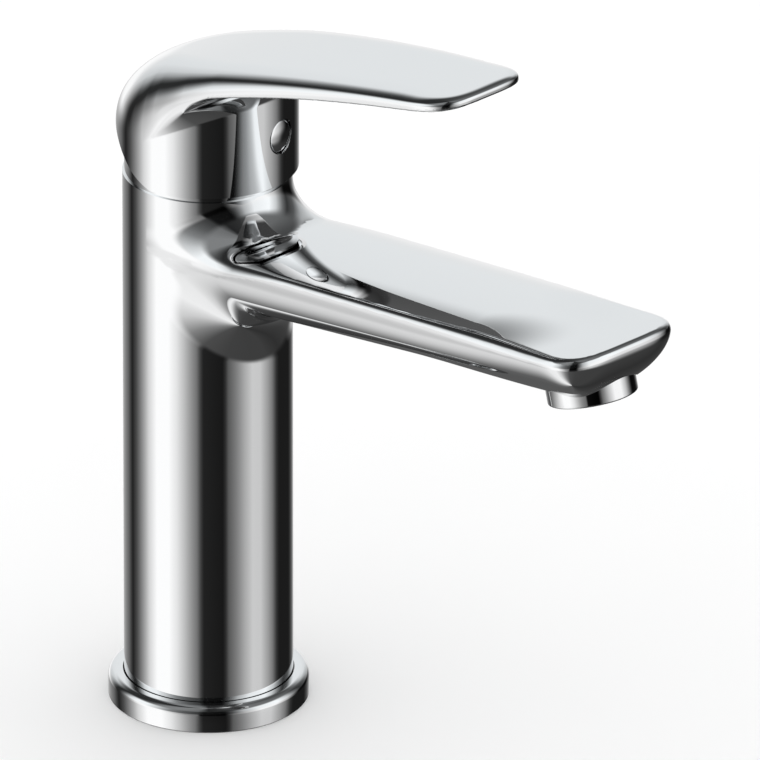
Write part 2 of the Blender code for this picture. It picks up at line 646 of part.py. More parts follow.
# ================================================================ the handle
def lever_half_width(forward):
    """Round at the back, then a long taper, then the lever's rounded corners."""
    if forward < 0:
        return sqrt(max(0.0, HANDLE_R ** 2 - forward ** 2))
    taper = forward / (LEVER_REACH - LEVER_CORNER)
    side = blend(HANDLE_R, LEVER_HALF_TIP, taper) + LEVER_SWELL * sin(pi * min(taper, 1.0))
    into = (forward - (LEVER_REACH - LEVER_CORNER)) / LEVER_CORNER
    if into <= 0:
        return min(side, HANDLE_R)
    return LEVER_FRONT_HALF + (side - LEVER_FRONT_HALF) * sqrt(max(0.0, 1 - into ** 2.3))


def lever_line(forward):
    return DOME_TOP + LEVER_SLOPE * forward - LEVER_EASE * forward ** 2


def lever_top(forward):
    """The lever's long arc, which a dome closes behind the axis."""
    line = lever_line(forward)
    if forward >= 0:
        return line
    closing = max(0.0, 1 - (-forward / HANDLE_R) ** DOME_FULLNESS) ** (1 / DOME_FULLNESS)
    return DOME_SPRING + (line - DOME_SPRING) * closing


def lever_bottom(forward):
    return lever_line(forward) - graded(LEVER_THICKNESS, forward)


def handle_section(forward, across=5, corner=5):
    half = lever_half_width(forward)
    top = lever_top(forward)
    run = min(graded(EDGE_RUN, forward), 0.75 * half)
    drop = min(graded(EDGE_DROP, forward), 0.6 * (top - HANDLE_RIM))
    points = [((half - run) * i / across, top) for i in range(across + 1)]
    for i in range(1, corner + 1):
        turn = (pi / 2) * i / corner
        points.append((half - run + run * sin(turn), top - drop * (1 - cos(turn))))
    points.append((half, HANDLE_RIM))
    mirrored = [(-x, z) for x, z in reversed(points[1:])]
    return [at(x, forward, z) for x, z in points + mirrored]


def handle_blank():
    stations = [-24.1, -23.6, -22.6, -21, -18.5, -15, -11, -6, 0, 4, 8, 13, 20, 29, 40, 56, 75, 90, 95,
                98, 100.5, 102.4, 103.7, 104.4]
    return [handle_section(s * MM) for s in stations]


def under_lever_cutter():
    """All the room under the lever and outside the round core that carries it."""
    far = LEVER_REACH + 6 * MM
    steps = [UNDER_LEVER_START + (far - UNDER_LEVER_START) * i / 16 for i in range(17)]
    outline = [(UNDER_LEVER_START, HANDLE_RIM - 6 * MM), (far, HANDLE_RIM - 6 * MM)]
    outline += [(f, lever_bottom(f)) for f in reversed(steps)]
    room = side_prism("under_lever_cutter", outline, 40 * MM)
    top = lever_bottom(HANDLE_R)
    profile = [(0.0, 200 * MM), (HANDLE_R + LEVER_FILLET_R, 200 * MM), (HANDLE_R + LEVER_FILLET_R, top)]
    for i in range(1, 5):
        turn = (pi / 2) * i / 4
        profile.append((HANDLE_R + LEVER_FILLET_R * (1 - sin(turn)),
                        top - LEVER_FILLET_R * (1 - cos(turn))))
    profile += [(HANDLE_R, 140 * MM), (0.0, 140 * MM)]
    core = turned("handle_core", profile, steps=ROUND, closed=False, cutter=True)
    cut(room, core)
    return room


def plug_frame():
    """The cover plug looks out of the core a little to one side of straight ahead."""
    facing = Vector((sin(PLUG_SIDE), -cos(PLUG_SIDE), 0.0))
    turn = facing.to_track_quat("Z", "Y").to_matrix().to_4x4()
    return Matrix.Translation((0, 0, PLUG_Z)) @ turn


def make_handle(mats, lift_axis, bush):
    handle = loft("handle", handle_blank(), mats["chrome"])
    cut(handle, under_lever_cutter())
    rise = HANDLE_CAVITY_TOP - HANDLE_CAVITY_SPRING
    vault = []
    start = asin(HUB_R / HANDLE_CAVITY_R)
    for i in range(8):
        turn = start + (pi / 2 - start) * i / 7
        vault.append((HANDLE_CAVITY_R * sin(turn), HANDLE_CAVITY_SPRING + rise * cos(turn)))
    below = HANDLE_RIM - 2 * OVER
    profile = [(0.0, HUB_LOW), (HUB_R, HUB_LOW)] + vault + [(HANDLE_CAVITY_R, below), (0.0, below)]
    cut(handle, turned("handle_cavity", profile, steps=SMALL_ROUND, closed=False, cutter=True))
    cut(handle, side_prism("back_cut", [(f * MM, z * MM) for f, z in BACK_CUT], 40 * MM))
    place = plug_frame()
    socket, socket_deep = 2 * (BUSH_HALF + GAP), 2 * (BUSH_TOP + 2 * GAP - 167.0 * MM)
    cut(handle, block("bush_socket", (socket, socket, socket_deep), (0, 0, 167.0 * MM), cutter=True))
    hole = along(place, "plug_hole", PLUG_HOLE_R, 20.9 * MM, 32 * MM, sides=24, cutter=True)
    bore = along(place, "grub_bore", GRUB_BORE_R, 2 * MM, 12 * MM, cutter=True)
    cut(handle, hole, bore)
    grub = along(place, "grub_screw", GRUB_R, 5.1 * MM, 9.6 * MM, mats["steel"])
    cut(grub, along(place, "hex_socket", 1.4 * MM, 7.2 * MM, 13 * MM, sides=6, cutter=True))
    plug = along(place, "screw_cover", PLUG_R, 21.3 * MM, 24.0 * MM, mats["chrome"], sides=24)
    for piece in (handle, bush, grub, plug):
        hang(piece, lift_axis)


def along(place, name, radius, near, far, mat=None, sides=PORT_ROUND, cutter=False):
    """A round bar on a frame's own Z axis, from one distance to another."""
    return rod(name, radius, place @ Vector((0, 0, near)), place @ Vector((0, 0, far)), mat, sides, cutter)


# ================================================================ the aerator
def make_aerator(mats):
    place = aerator_frame()
    rim, lip_h, washer_h = 0.5 * MM, 1.2 * MM, 1.4 * MM
    turned("aerator_housing",
           [(AERATOR_BORE_R, AERATOR_TALL), (AERATOR_R, AERATOR_TALL), (AERATOR_R, rim),
            (AERATOR_R - rim, 0.0), (AERATOR_LIP_R, 0.0), (AERATOR_LIP_R, lip_h), (AERATOR_BORE_R, lip_h)],
           mats["chrome"], ROUND, placing=place)
    ring("aerator_insert", PLATE_R + GAP, AERATOR_BORE_R - 0.35 * MM, lip_h + GAP, 7.6 * MM,
         mats["plastic_grey"], placing=place)
    for name, low, thick, hole, count, out in PLATES:
        high = low + thick
        plate = turned(name, [(0, high), (PLATE_R, high), (PLATE_R, low), (0, low)],
                       mats["plastic_white"], SMALL_ROUND, closed=False, placing=place)
        for i in range(count):
            turn = 2 * pi * i / count
            spot = Vector((out * cos(turn), out * sin(turn), 0))
            start = place @ (spot + Vector((0, 0, low - MM)))
            end = place @ (spot + Vector((0, 0, high + MM)))
            cut(plate, rod(f"{name}_hole_{i}", hole, start, end, sides=12, cutter=True))
    seat = AERATOR_TALL + GAP
    ring("aerator_washer", 8.4 * MM, 10.9 * MM, seat, seat + washer_h, mats["rubber"], placing=place)


# ================================================================ assembly
def hang(piece, axis):
    """Hangs a piece on the empty that stands on its joint's axis."""
    piece.parent = axis
    piece.matrix_parent_inverse = axis.matrix_world.inverted()


def empty(name, place, parent=None):
    obj = bpy.data.objects.new(name, None)
    bpy.data.collections[COLLECTION].objects.link(obj)
    obj.location = place
    bpy.context.view_layer.update()
    if parent is not None:
        hang(obj, parent)
    return obj


def shade_round_pieces():
    """Round pieces are smooth except across their real edges."""
    for obj in bpy.data.collections[COLLECTION].objects:
        if obj.type == "MESH":
            obj.data.shade_smooth()
            obj.data.set_sharp_from_angle(angle=radians(30))


def build():
    clear_scene()
    mats = make_materials()
    turn_axis = empty("handle_turn_axis", (0, 0, PIVOT_Z))
    lift_axis = empty("handle_lift_axis", (0, 0, PIVOT_Z), turn_axis)
    make_body(mats)
    make_base(mats)
    disc_top = make_cartridge_fixed(mats)
    make_nut_and_cap(mats)
    make_cartridge_moving(mats, turn_axis, disc_top)
    bush = make_spindle(mats, lift_axis)
    make_handle(mats, lift_axis, bush)
    make_aerator(mats)
    shade_round_pieces()


build()
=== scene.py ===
from math import cos, pi, radians, sin, sqrt

import bmesh
import bpy
import numpy as np
from mathutils import Matrix, Vector


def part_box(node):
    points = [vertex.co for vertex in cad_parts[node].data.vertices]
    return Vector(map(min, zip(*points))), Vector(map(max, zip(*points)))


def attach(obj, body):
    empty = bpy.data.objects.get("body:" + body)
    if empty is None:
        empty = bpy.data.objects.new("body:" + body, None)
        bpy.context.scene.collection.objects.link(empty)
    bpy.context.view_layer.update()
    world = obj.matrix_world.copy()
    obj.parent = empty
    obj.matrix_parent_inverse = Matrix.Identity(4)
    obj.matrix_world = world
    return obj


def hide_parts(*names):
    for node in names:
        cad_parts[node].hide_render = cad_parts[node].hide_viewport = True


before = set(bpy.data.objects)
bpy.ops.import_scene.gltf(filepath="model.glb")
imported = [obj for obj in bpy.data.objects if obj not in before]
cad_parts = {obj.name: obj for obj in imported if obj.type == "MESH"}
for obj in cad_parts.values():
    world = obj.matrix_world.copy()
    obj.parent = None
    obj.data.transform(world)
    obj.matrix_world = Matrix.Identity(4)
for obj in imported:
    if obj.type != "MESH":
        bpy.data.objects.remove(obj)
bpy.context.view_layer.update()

# Looks of a single-lever basin mixer.  The chromed castings are meshed from signed fields, so
# that their reflections run smoothly from the column into the spout and from the dome into the
# lever.  Lengths are metres.  In the fields x is to the side, f ahead along the spout (f = -y)
# and z up.
MM = 0.001

# ---------------------------------------------------------------- sizes read from the frame
BODY_LOW, BODY_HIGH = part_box("body")
HANDLE_LOW, HANDLE_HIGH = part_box("handle")
COLUMN_R = BODY_HIGH.x
COLUMN_TOP = BODY_HIGH.z
SPOUT_REACH = -BODY_LOW.y
HANDLE_R = HANDLE_HIGH.x
HANDLE_RIM = HANDLE_LOW.z
LEVER_REACH = -HANDLE_LOW.y

# ---------------------------------------------------------------- spout
SPOUT_TOP_AT_AXIS = 137.3 * MM
SPOUT_TOP_SLOPE = 0.095
SPOUT_BOTTOM_AT_AXIS = 117.8 * MM
SPOUT_BOTTOM_SLOPE = 0.134
SPOUT_HALF = 20.9 * MM
SPOUT_CROWN = 3.2 * MM                # how much the top's middle stands over its edges
SPOUT_CROWN_POWER = 2.3
SPOUT_WIDEST = 2.5 * MM               # how far under the top the spout is widest
SPOUT_LEAN = 8.9 * MM                 # above that it leans in, as an ellipse this tall would
SPOUT_BOW_START = 141.4 * MM
SPOUT_BOW_END = SPOUT_REACH - 0.4 * MM
SPOUT_PLAN_POWER = 4.0
SPOUT_SIDE_POWER = 2.3
SPOUT_TIP_POWER = 1.75
SPOUT_BOW_POWER = 1.9
SPOUT_TIP_DEEPER = 3.5 * MM
SPOUT_TIP_EASE_START = 90 * MM        # from here on the section eases into the tip's
SPOUT_CROWN_END = 115 * MM            # from here on the crown fades
SPOUT_EDGE_ROOT_R = 6.0 * MM          # between top and side, at the column
SPOUT_EDGE_R = 1.0 * MM
SPOUT_EDGE_EASE = (8 * MM, 50 * MM)   # where it goes from the one to the other
ROOT_FILLET_TOP = 10.0 * MM
ROOT_FILLET_UNDER = 20.0 * MM
ROOT_FILLET_SIDE = 27.0 * MM

# ---------------------------------------------------------------- handle
DOME_TOP = 188.2 * MM
DOME_POWER = 2.5
LEVER_SLOPE = 0.285
LEVER_EASE = 0.83                     # per metre
LEVER_HALF_TIP = 16.7 * MM
LEVER_TIP_START = 88.0 * MM
LEVER_PLAN_POWER = 4.2
LEVER_FILLET_R = 8.0 * MM
LEVER_TAPER_START = 8.0 * MM          # how gently the lever starts to narrow
LEVER_LOWER_EDGE_R = 0.8 * MM
LEVER_LOWER_EDGE_ROOT_R = 6.0 * MM
LEVER_LOWER_EDGE_EASE = (6 * MM, 20 * MM)
LEVER_TIP_MARGIN = 9 * MM             # the taper reaches the tip's width this far before its end
# (distance ahead of the axis, size) along the lever, in millimetres
LEVER_THICKNESS = ((0, 13.0), (12, 10.0), (18, 8.6), (24, 7.6), (40, 6.5), (56, 5.6), (76, 4.8), (91, 4.2),
                   (105, 3.0))
EDGE_DROP = ((-24.2, 15.5), (-12, 20.0), (-4, 20.5), (4, 17.0), (14, 11.5), (24, 8.4), (40, 6.0), (56, 4.6),
             (74, 3.5), (91, 2.9), (107, 1.8), (114, 1.2))
EDGE_RUN = ((-24.2, 24.2), (-8, 20.0), (0, 16.5), (12, 13.0), (24, 10.5), (56, 9.0), (91, 8.0), (105, 4.0),
            (114, 1.8))
# The handle's lower edge behind: how it rises to the back, as (ahead, up) in millimetres
BACK_CUT = ((-30, 177.0), (-12.7, 163.7), (-3.9, 157.2), (1.9, 154.5), (6.0, 153.2))

# ---------------------------------------------------------------- hollows and small pieces
HOLLOW_R = 19.3 * MM                  # in the column, below the block that the cartridge stands on
HOLLOW_TOP = 110 * MM
CHAMBER_R = 19.5 * MM
CHAMBER_FLOOR = 128 * MM
POCKET_R = 12.5 * MM                  # the aerator's recess
POCKET_DEEP = 12.6 * MM
CAVITY_R = 22.9 * MM                  # in the handle
CAVITY_SPRING = 160 * MM
CAVITY_TOP = 178.5 * MM
PLUG_TURN = radians(9.5)
PLUG_Z = 167.7 * MM
PLUG_R = 4.5 * MM
PLUG_HOLE_R = 4.85 * MM
PLUG_LOW = 21.3 * MM                  # from the axis
PLUG_FACE = 24.25 * MM
PLUG_DOME_R = 16 * MM
PLUG_FACING = Vector((sin(PLUG_TURN), -cos(PLUG_TURN), 0))
PLUG_PLACE = Matrix.Translation((0, 0, PLUG_Z)) @ PLUG_FACING.to_track_quat("Z", "Y").to_matrix().to_4x4()
AERATOR_TILT = radians(14.9)
AERATOR_RIM = Vector((0, -143.0 * MM, 132.7 * MM))
AERATOR_PLACE = Matrix.Translation(AERATOR_RIM) @ Matrix.Rotation(-AERATOR_TILT, 4, "X")
AERATOR_R = 12.05 * MM
AERATOR_BORE_R = 10.45 * MM
AERATOR_LIP_R = 10.0 * MM
AERATOR_TALL = 10.6 * MM
RING_GAP = 0.3 * MM                   # between the base ring and the column
RING_EDGE_R = 2.2 * MM
RING_GROOVE = (23.7 * MM, 25.4 * MM, 1.5 * MM)    # the gasket's groove: inner, outer, depth
CAP_SPHERE_R = 22.15 * MM
CAP_CENTRE = 154.0 * MM               # the height of the pin that the lever tilts on
CAP_SHOULDER = 156.8 * MM
CAP_WALL = 1.7 * MM
CAP_HOLE_R = 15.7 * MM
OVER = 10 * MM                        # how far a cutter runs past what it cuts

# ---------------------------------------------------------------- meshing
TRIM = 1.5 * MM                       # the castings are meshed this much past their flat ends
BODY_CELL = 0.7 * MM
HANDLE_CELL = 0.5 * MM


# ================================================================ fields
def graded(stops, where):
    """A smooth monotone curve through (place, size) stops given in millimetres."""
    places = np.array([s[0] for s in stops]) * MM
    sizes = np.array([s[1] for s in stops]) * MM
    steps = np.diff(places)
    slopes = np.diff(sizes) / steps
    tangents = np.zeros(len(stops))
    same = slopes[:-1] * slopes[1:] > 0
    both = np.where(same, 2 * slopes[:-1] * slopes[1:] / np.where(same, slopes[:-1] + slopes[1:], 1), 0)
    tangents[1:-1] = both
    tangents[0], tangents[-1] = slopes[0], slopes[-1]
    i = np.clip(np.searchsorted(places, where) - 1, 0, len(steps) - 1)
    t = np.clip((where - places[i]) / steps[i], 0, 1)
    return ((2 * t ** 3 - 3 * t ** 2 + 1) * sizes[i] + (t ** 3 - 2 * t ** 2 + t) * steps[i] * tangents[i]
            + (3 * t ** 2 - 2 * t ** 3) * sizes[i + 1] + (t ** 3 - t ** 2) * steps[i] * tangents[i + 1])


def smoothstep(low, high, value):
    t = np.clip((value - low) / (high - low), 0, 1)
    return t * t * (3 - 2 * t)


def round_union(a, b, radius):
    """Two solids joined with a round fillet."""
    near = np.hypot(np.maximum(radius - a, 0), np.maximum(radius - b, 0))
    return np.maximum(np.minimum(a, b), radius) - near


def round_cut(a, b, radius):
    """What two solids share, with a round edge."""
    return -round_union(-a, -b, radius)


def gradient(field, x, f, z, step=0.02 * MM):
    return (
        (field(x + step, f, z) - field(x - step, f, z)) / (2 * step),
        (field(x, f + step, z) - field(x, f - step, z)) / (2 * step),
        (field(x, f, z + step) - field(x, f, z - step)) / (2 * step),
    )


def rolled(a, b, together, radius):
    """Two solids joined by a ball's fillet; `together` is the cosine between their normals."""
    one, two = radius - a, radius - b
    c = np.clip(together, -0.3, 0.999)
    span = np.sqrt(np.maximum(one ** 2 + two ** 2 - 2 * c * one * two, 0) / (1 - c ** 2))
    return np.where((one > c * two) & (two > c * one), radius - span, np.minimum(a, b))


def spout_field(x, f, z):
    top = SPOUT_TOP_AT_AXIS + SPOUT_TOP_SLOPE * f
    near_tip = smoothstep(SPOUT_TIP_EASE_START, SPOUT_BOW_START, f)
    depth = top - (SPOUT_BOTTOM_AT_AXIS + SPOUT_BOTTOM_SLOPE * f) + SPOUT_TIP_DEEPER * near_tip
    below = top - SPOUT_WIDEST - z
    v = np.where(below > 0, below / (depth - SPOUT_WIDEST), -below / SPOUT_LEAN)
    ahead = np.maximum(f - SPOUT_BOW_START, 0)
    u = np.abs(x) / SPOUT_HALF
    t = ahead / (SPOUT_BOW_END - SPOUT_BOW_START)
    plan = (u ** SPOUT_PLAN_POWER + t ** SPOUT_PLAN_POWER) ** (1 / SPOUT_PLAN_POWER)
    power = SPOUT_SIDE_POWER + (SPOUT_TIP_POWER - SPOUT_SIDE_POWER) * near_tip
    power = power + (SPOUT_BOW_POWER - power) * t ** 2 / (t ** 2 + u ** 2 + 1e-9)
    out = (plan ** power + v ** power) ** (1 / power)
    span = np.sqrt(x ** 2 + below ** 2 + ahead ** 2)
    bowl = span * (1 - 1 / np.maximum(out, 1e-3))
    edge = SPOUT_EDGE_R + (SPOUT_EDGE_ROOT_R - SPOUT_EDGE_R) * (1 - smoothstep(*SPOUT_EDGE_EASE, f))
    crown = SPOUT_CROWN * (1 - smoothstep(SPOUT_CROWN_END, SPOUT_BOW_END, f))
    over = top + crown * (1 - np.minimum(u, 1.2) ** SPOUT_CROWN_POWER)
    return round_cut(bowl, (z - over) / sqrt(1 + SPOUT_TOP_SLOPE ** 2), edge)


def body_field(x, f, z):
    """The column and the spout, joined by fillets that are larger under the spout than over it."""
    rho = np.maximum(np.hypot(x, f), 1e-9)
    column = rho - COLUMN_R
    gx, gf, gz = gradient(spout_field, x, f, z)
    length = np.maximum(np.sqrt(gx ** 2 + gf ** 2 + gz ** 2), 1e-9)
    spout = spout_field(x, f, z) / np.clip(length, 0.5, 2)
    together = (gx * x + gf * f) / (rho * length)
    end_on = ROOT_FILLET_TOP + (ROOT_FILLET_UNDER - ROOT_FILLET_TOP) * smoothstep(-0.3, 0.3, -gz / length)
    radius = end_on + (ROOT_FILLET_SIDE - end_on) * (gx / length) ** 2
    whole = np.where(f > 0, rolled(column, spout, together, radius), column)
    return np.maximum(whole, np.maximum(z - COLUMN_TOP, -z) - TRIM)


def lever_line(f):
    return DOME_TOP + LEVER_SLOPE * f - LEVER_EASE * f ** 2


def cover_field(x, f, z):
    """The dome and the lever's top and sides: one surface with an edge that varies along it."""
    taper = np.hypot(np.maximum(f, 0), LEVER_TAPER_START) - LEVER_TAPER_START
    tapering = LEVER_REACH - LEVER_TAPER_START - LEVER_TIP_MARGIN
    half = HANDLE_R + (LEVER_HALF_TIP - HANDLE_R) * taper / tapering
    past = np.maximum(f - LEVER_TIP_START, 0)
    t = past / (LEVER_REACH - LEVER_TIP_START)
    plan = ((np.abs(x) / half) ** LEVER_PLAN_POWER + t ** LEVER_PLAN_POWER) ** (1 / LEVER_PLAN_POWER)
    ahead = np.hypot(x, past) * (1 - 1 / np.maximum(plan, 1e-3))
    beside = np.where(f < 0, np.hypot(x, f) - HANDLE_R, ahead)
    above = z - lever_line(f)
    run, drop = graded(EDGE_RUN, f), graded(EDGE_DROP, f)
    aside = np.maximum(1 + beside / run, 0) ** DOME_POWER
    up = np.maximum(1 + above / drop, 0) ** DOME_POWER
    share = aside / np.maximum(aside + up, 1e-9)
    return ((aside + up) ** (1 / DOME_POWER) - 1) * (drop + (run - drop) * share)


def carried_field(x, f, z):
    """The round core and everything over the lever's underside."""
    below = lever_line(f) - graded(LEVER_THICKNESS, f) - z
    return round_union(np.hypot(x, f) - HANDLE_R, below, LEVER_FILLET_R)


def handle_field(x, f, z):
    cover, carried = cover_field(x, f, z), carried_field(x, f, z)
    ax, af, az = gradient(cover_field, x, f, z)
    bx, bf, bz = gradient(carried_field, x, f, z)
    lengths = np.sqrt((ax ** 2 + af ** 2 + az ** 2) * (bx ** 2 + bf ** 2 + bz ** 2))
    together = (ax * bx + af * bf + az * bz) / np.maximum(lengths, 1e-9)
    rooted = 1 - smoothstep(*LEVER_LOWER_EDGE_EASE, f)
    radius = LEVER_LOWER_EDGE_R + (LEVER_LOWER_EDGE_ROOT_R - LEVER_LOWER_EDGE_R) * rooted
    whole = np.where(f > 0, -rolled(-cover, -carried, together, radius), cover)
    return np.maximum(whole, HANDLE_RIM - TRIM - z)


# ================================================================ meshing a field
def surface_net(field, low, high, cell):
    """Vertices (x, f, z) and quads of the surface where the field is zero."""
    axes = [np.arange(a - 2 * cell, b + 3 * cell, cell) for a, b in zip(low, high)]
    inside = field(*np.meshgrid(*axes, indexing="ij")) < 0
    count = np.zeros([len(a) - 1 for a in axes], np.int8)
    for i in (0, 1):
        for j in (0, 1):
            for k in (0, 1):
                count += inside[i:i + count.shape[0], j:j + count.shape[1], k:k + count.shape[2]]
    active = (count > 0) & (count < 8)
    number = np.full(count.shape, -1)
    number[active] = np.arange(active.sum())
    cells = np.argwhere(active)
    start = np.array([a[0] for a in axes])
    points = start + (cells + 0.5) * cell
    quads = []
    for axis in range(3):
        one, two = (axis + 1) % 3, (axis + 2) % 3
        near = np.take(inside, range(inside.shape[axis] - 1), axis)
        far = np.take(inside, range(1, inside.shape[axis]), axis)
        spots = np.argwhere(near != far)
        leaving = near[tuple(spots.T)]
        corners = []
        for back_one, back_two in ((1, 1), (0, 1), (0, 0), (1, 0)):
            spot = spots.copy()
            spot[:, one] -= back_one
            spot[:, two] -= back_two
            corners.append(number[tuple(spot.T)])
        quad = np.stack(corners, 1)
        quad[~leaving] = quad[~leaving][:, ::-1]
        quads.append(quad)
    return points, np.concatenate(quads)


def settle(field, points, rounds=3, reach=1.0 * MM):
    """Moves points onto the surface along the field's gradient."""
    for _ in range(rounds):
        x, f, z = points.T
        value = field(x, f, z)
        g = np.stack(gradient(field, x, f, z), 1)
        move = -(value / np.maximum((g ** 2).sum(1), 1e-6))[:, None] * g
        far = np.linalg.norm(move, axis=1, keepdims=True)
        points = points + move * np.minimum(1, reach / np.maximum(far, 1e-12))
    return points


def relax(points, quads):
    """Moves every point halfway to the middle of its neighbours."""
    total = np.zeros_like(points)
    count = np.zeros(len(points))
    for i in range(4):
        for near in (quads[:, (i + 1) % 4], quads[:, (i - 1) % 4]):
            for axis in range(3):
                total[:, axis] += np.bincount(quads[:, i], points[near, axis], len(points))
            count += np.bincount(quads[:, i], minlength=len(points))
    return points + 0.5 * (total / count[:, None] - points)


def field_mesh(name, field, low, high, cell):
    points, quads = surface_net(field, low, high, cell)
    points = settle(field, points, 3, cell)
    for _ in range(4):
        points = settle(field, relax(points, quads), 1, cell)
    points = settle(field, points, 2, cell)
    mesh = bpy.data.meshes.new(name)
    mesh.from_pydata(np.stack([points[:, 0], -points[:, 1], points[:, 2]], 1), [], quads.tolist())
    mesh.update()
    obj = bpy.data.objects.new(name, mesh)
    bpy.context.scene.collection.objects.link(obj)
    bm = bmesh.new()
    bm.from_mesh(mesh)
    bmesh.ops.recalc_face_normals(bm, faces=bm.faces)
    bm.to_mesh(mesh)
    bm.free()
    return obj


def field_normals(obj, field, angle=25):
    """Smooth shading that follows the field itself, and stays sharp at cut edges."""
    mesh = obj.data
    mesh.shade_smooth()
    mesh.set_sharp_from_angle(angle=radians(angle))
    mesh.update()
    co = np.empty(len(mesh.vertices) * 3)
    mesh.vertices.foreach_get("co", co)
    x, y, z = co.reshape(-1, 3).T
    g = np.stack(gradient(field, x, -y, z), 1)
    g[:, 1] *= -1
    size = np.linalg.norm(g, axis=1)
    on_surface = np.abs(field(x, -y, z)) < 0.02 * MM * np.maximum(size, 1)
    normals = np.empty(len(mesh.loops) * 3)
    mesh.corner_normals.foreach_get("vector", normals)
    normals = normals.reshape(-1, 3)
    vertex = np.empty(len(mesh.loops), int)
    mesh.loops.foreach_get("vertex_index", vertex)
    smooth = (g / size[:, None])[vertex]
    agree = (smooth * normals).sum(1) > cos(radians(angle))
    use = on_surface[vertex] & agree
    normals[use] = smooth[use]
    mesh.normals_split_custom_set(normals.tolist())


# ================================================================ plain pieces
def put(name, mesh):
    obj = bpy.data.objects.new(name, mesh)
    bpy.context.scene.collection.objects.link(obj)
    return obj


def lathe(name, profile, steps=128, place=None, sharp=30):
    """A turned solid.  The closed profile lists (radius, height); its outer side runs down."""
    bm = bmesh.new()
    loops = []
    for r, z in profile:
        if r < 1e-9:
            loops.append([bm.verts.new((0, 0, z))])
        else:
            loops.append([bm.verts.new((r * cos(2 * pi * i / steps), r * sin(2 * pi * i / steps), z))
                          for i in range(steps)])
    for upper, lower in zip(loops, loops[1:] + loops[:1]):
        if len(upper) == 1 and len(lower) == 1:
            continue
        for i in range(steps):
            j = (i + 1) % steps
            ring = [upper[i % len(upper)], lower[i % len(lower)],
                    lower[j % len(lower)], upper[j % len(upper)]]
            bm.faces.new(list(dict.fromkeys(ring)))
    bmesh.ops.recalc_face_normals(bm, faces=bm.faces)
    mesh = bpy.data.meshes.new(name)
    bm.to_mesh(mesh)
    bm.free()
    mesh.shade_smooth()
    mesh.set_sharp_from_angle(angle=radians(sharp))
    obj = put(name, mesh)
    if place is not None:
        obj.matrix_world = place
    return obj


def arc(centre_r, centre_z, radius, start, end, steps=8):
    """Points on a quarter or so of a circle; angles in degrees from +radius towards +height."""
    turns = [radians(start + (end - start) * i / steps) for i in range(steps + 1)]
    return [(centre_r + radius * cos(t), centre_z + radius * sin(t)) for t in turns]


def cut_away(obj, *cutters):
    """Takes cutters out of a piece and removes them."""
    for cutter in cutters:
        modifier = obj.modifiers.new("cut", "BOOLEAN")
        modifier.operation = "DIFFERENCE"
        modifier.solver = "EXACT"
        modifier.object = cutter
    bpy.context.view_layer.update()
    graph = bpy.context.evaluated_depsgraph_get()
    mesh = bpy.data.meshes.new_from_object(obj.evaluated_get(graph))
    obj.modifiers.clear()
    obj.data = mesh
    for cutter in cutters:
        bpy.data.objects.remove(cutter)


# ================================================================ the chromed pieces
def make_rim_cut():
    """Everything under the handle's lower edge."""
    far, wide = 60 * MM, 40 * MM
    places = np.linspace(BACK_CUT[-1][0], BACK_CUT[0][0], 37) * MM
    line = [(far, HANDLE_RIM), (places[0], HANDLE_RIM)]
    line += [(f, max(z, HANDLE_RIM)) for f, z in zip(places[1:], graded(BACK_CUT, places[1:]))]
    line += [(-far, line[-1][1]), (-far, HANDLE_RIM - far), (far, HANDLE_RIM - far)]
    bm = bmesh.new()
    sides = [[bm.verts.new((x, -f, z)) for f, z in line] for x in (-wide, wide)]
    bm.faces.new(sides[0])
    bm.faces.new(sides[1][::-1])
    for i in range(len(line)):
        j = (i + 1) % len(line)
        bm.faces.new([sides[0][i], sides[1][i], sides[1][j], sides[0][j]])
    bmesh.ops.recalc_face_normals(bm, faces=bm.faces)
    mesh = bpy.data.meshes.new("rim_cut")
    bm.to_mesh(mesh)
    bm.free()
    return put("rim_cut", mesh)


def make_body():
    body = field_mesh("mixer_casting", body_field, (-COLUMN_R, -COLUMN_R, -2 * MM),
                      (COLUMN_R, SPOUT_REACH, COLUMN_TOP + 2 * MM), BODY_CELL)
    wide = 30 * MM
    above = COLUMN_TOP + OVER
    foot = lathe("foot_cut", [(0, 0), (wide, 0), (wide, -OVER), (0, -OVER)], 8)
    head = lathe("head_cut", [(0, above), (wide, above), (wide, COLUMN_TOP), (0, COLUMN_TOP)], 8)
    hollow = lathe("hollow_cut", [(0, HOLLOW_TOP), (HOLLOW_R, HOLLOW_TOP), (HOLLOW_R, -2 * OVER),
                                  (0, -2 * OVER)], 64)
    chamber = lathe("chamber_cut", [(0, above + OVER), (CHAMBER_R, above + OVER),
                                    (CHAMBER_R, CHAMBER_FLOOR), (0, CHAMBER_FLOOR)], 64)
    pocket = lathe("pocket_cut", [(0, POCKET_DEEP), (POCKET_R, POCKET_DEEP), (POCKET_R, -0.8 * OVER),
                                  (0, -0.8 * OVER)], 96, AERATOR_PLACE)
    cut_away(body, foot, head, hollow, chamber, pocket)
    field_normals(body, body_field)
    return body


def make_handle():
    handle = field_mesh("lever_handle", handle_field, (-HANDLE_R, -HANDLE_R, HANDLE_RIM - TRIM),
                        (HANDLE_R, LEVER_REACH, HANDLE_HIGH.z), HANDLE_CELL)
    steps = 12
    turns = [pi / 2 * i / steps for i in range(steps + 1)]
    vault = [(CAVITY_R * sin(t), CAVITY_SPRING + (CAVITY_TOP - CAVITY_SPRING) * cos(t)) for t in turns]
    below = CAVITY_SPRING - 2 * OVER
    cavity = lathe("cavity_cut", vault + [(CAVITY_R, below), (0, below)], 96)
    hole_out, hole_in = 32 * MM, 20.9 * MM
    plug_hole = lathe("plug_cut", [(0, hole_out), (PLUG_HOLE_R, hole_out), (PLUG_HOLE_R, hole_in),
                                   (0, hole_in)], 48, PLUG_PLACE)
    cut_away(handle, make_rim_cut(), cavity, plug_hole)
    field_normals(handle, handle_field)
    return handle


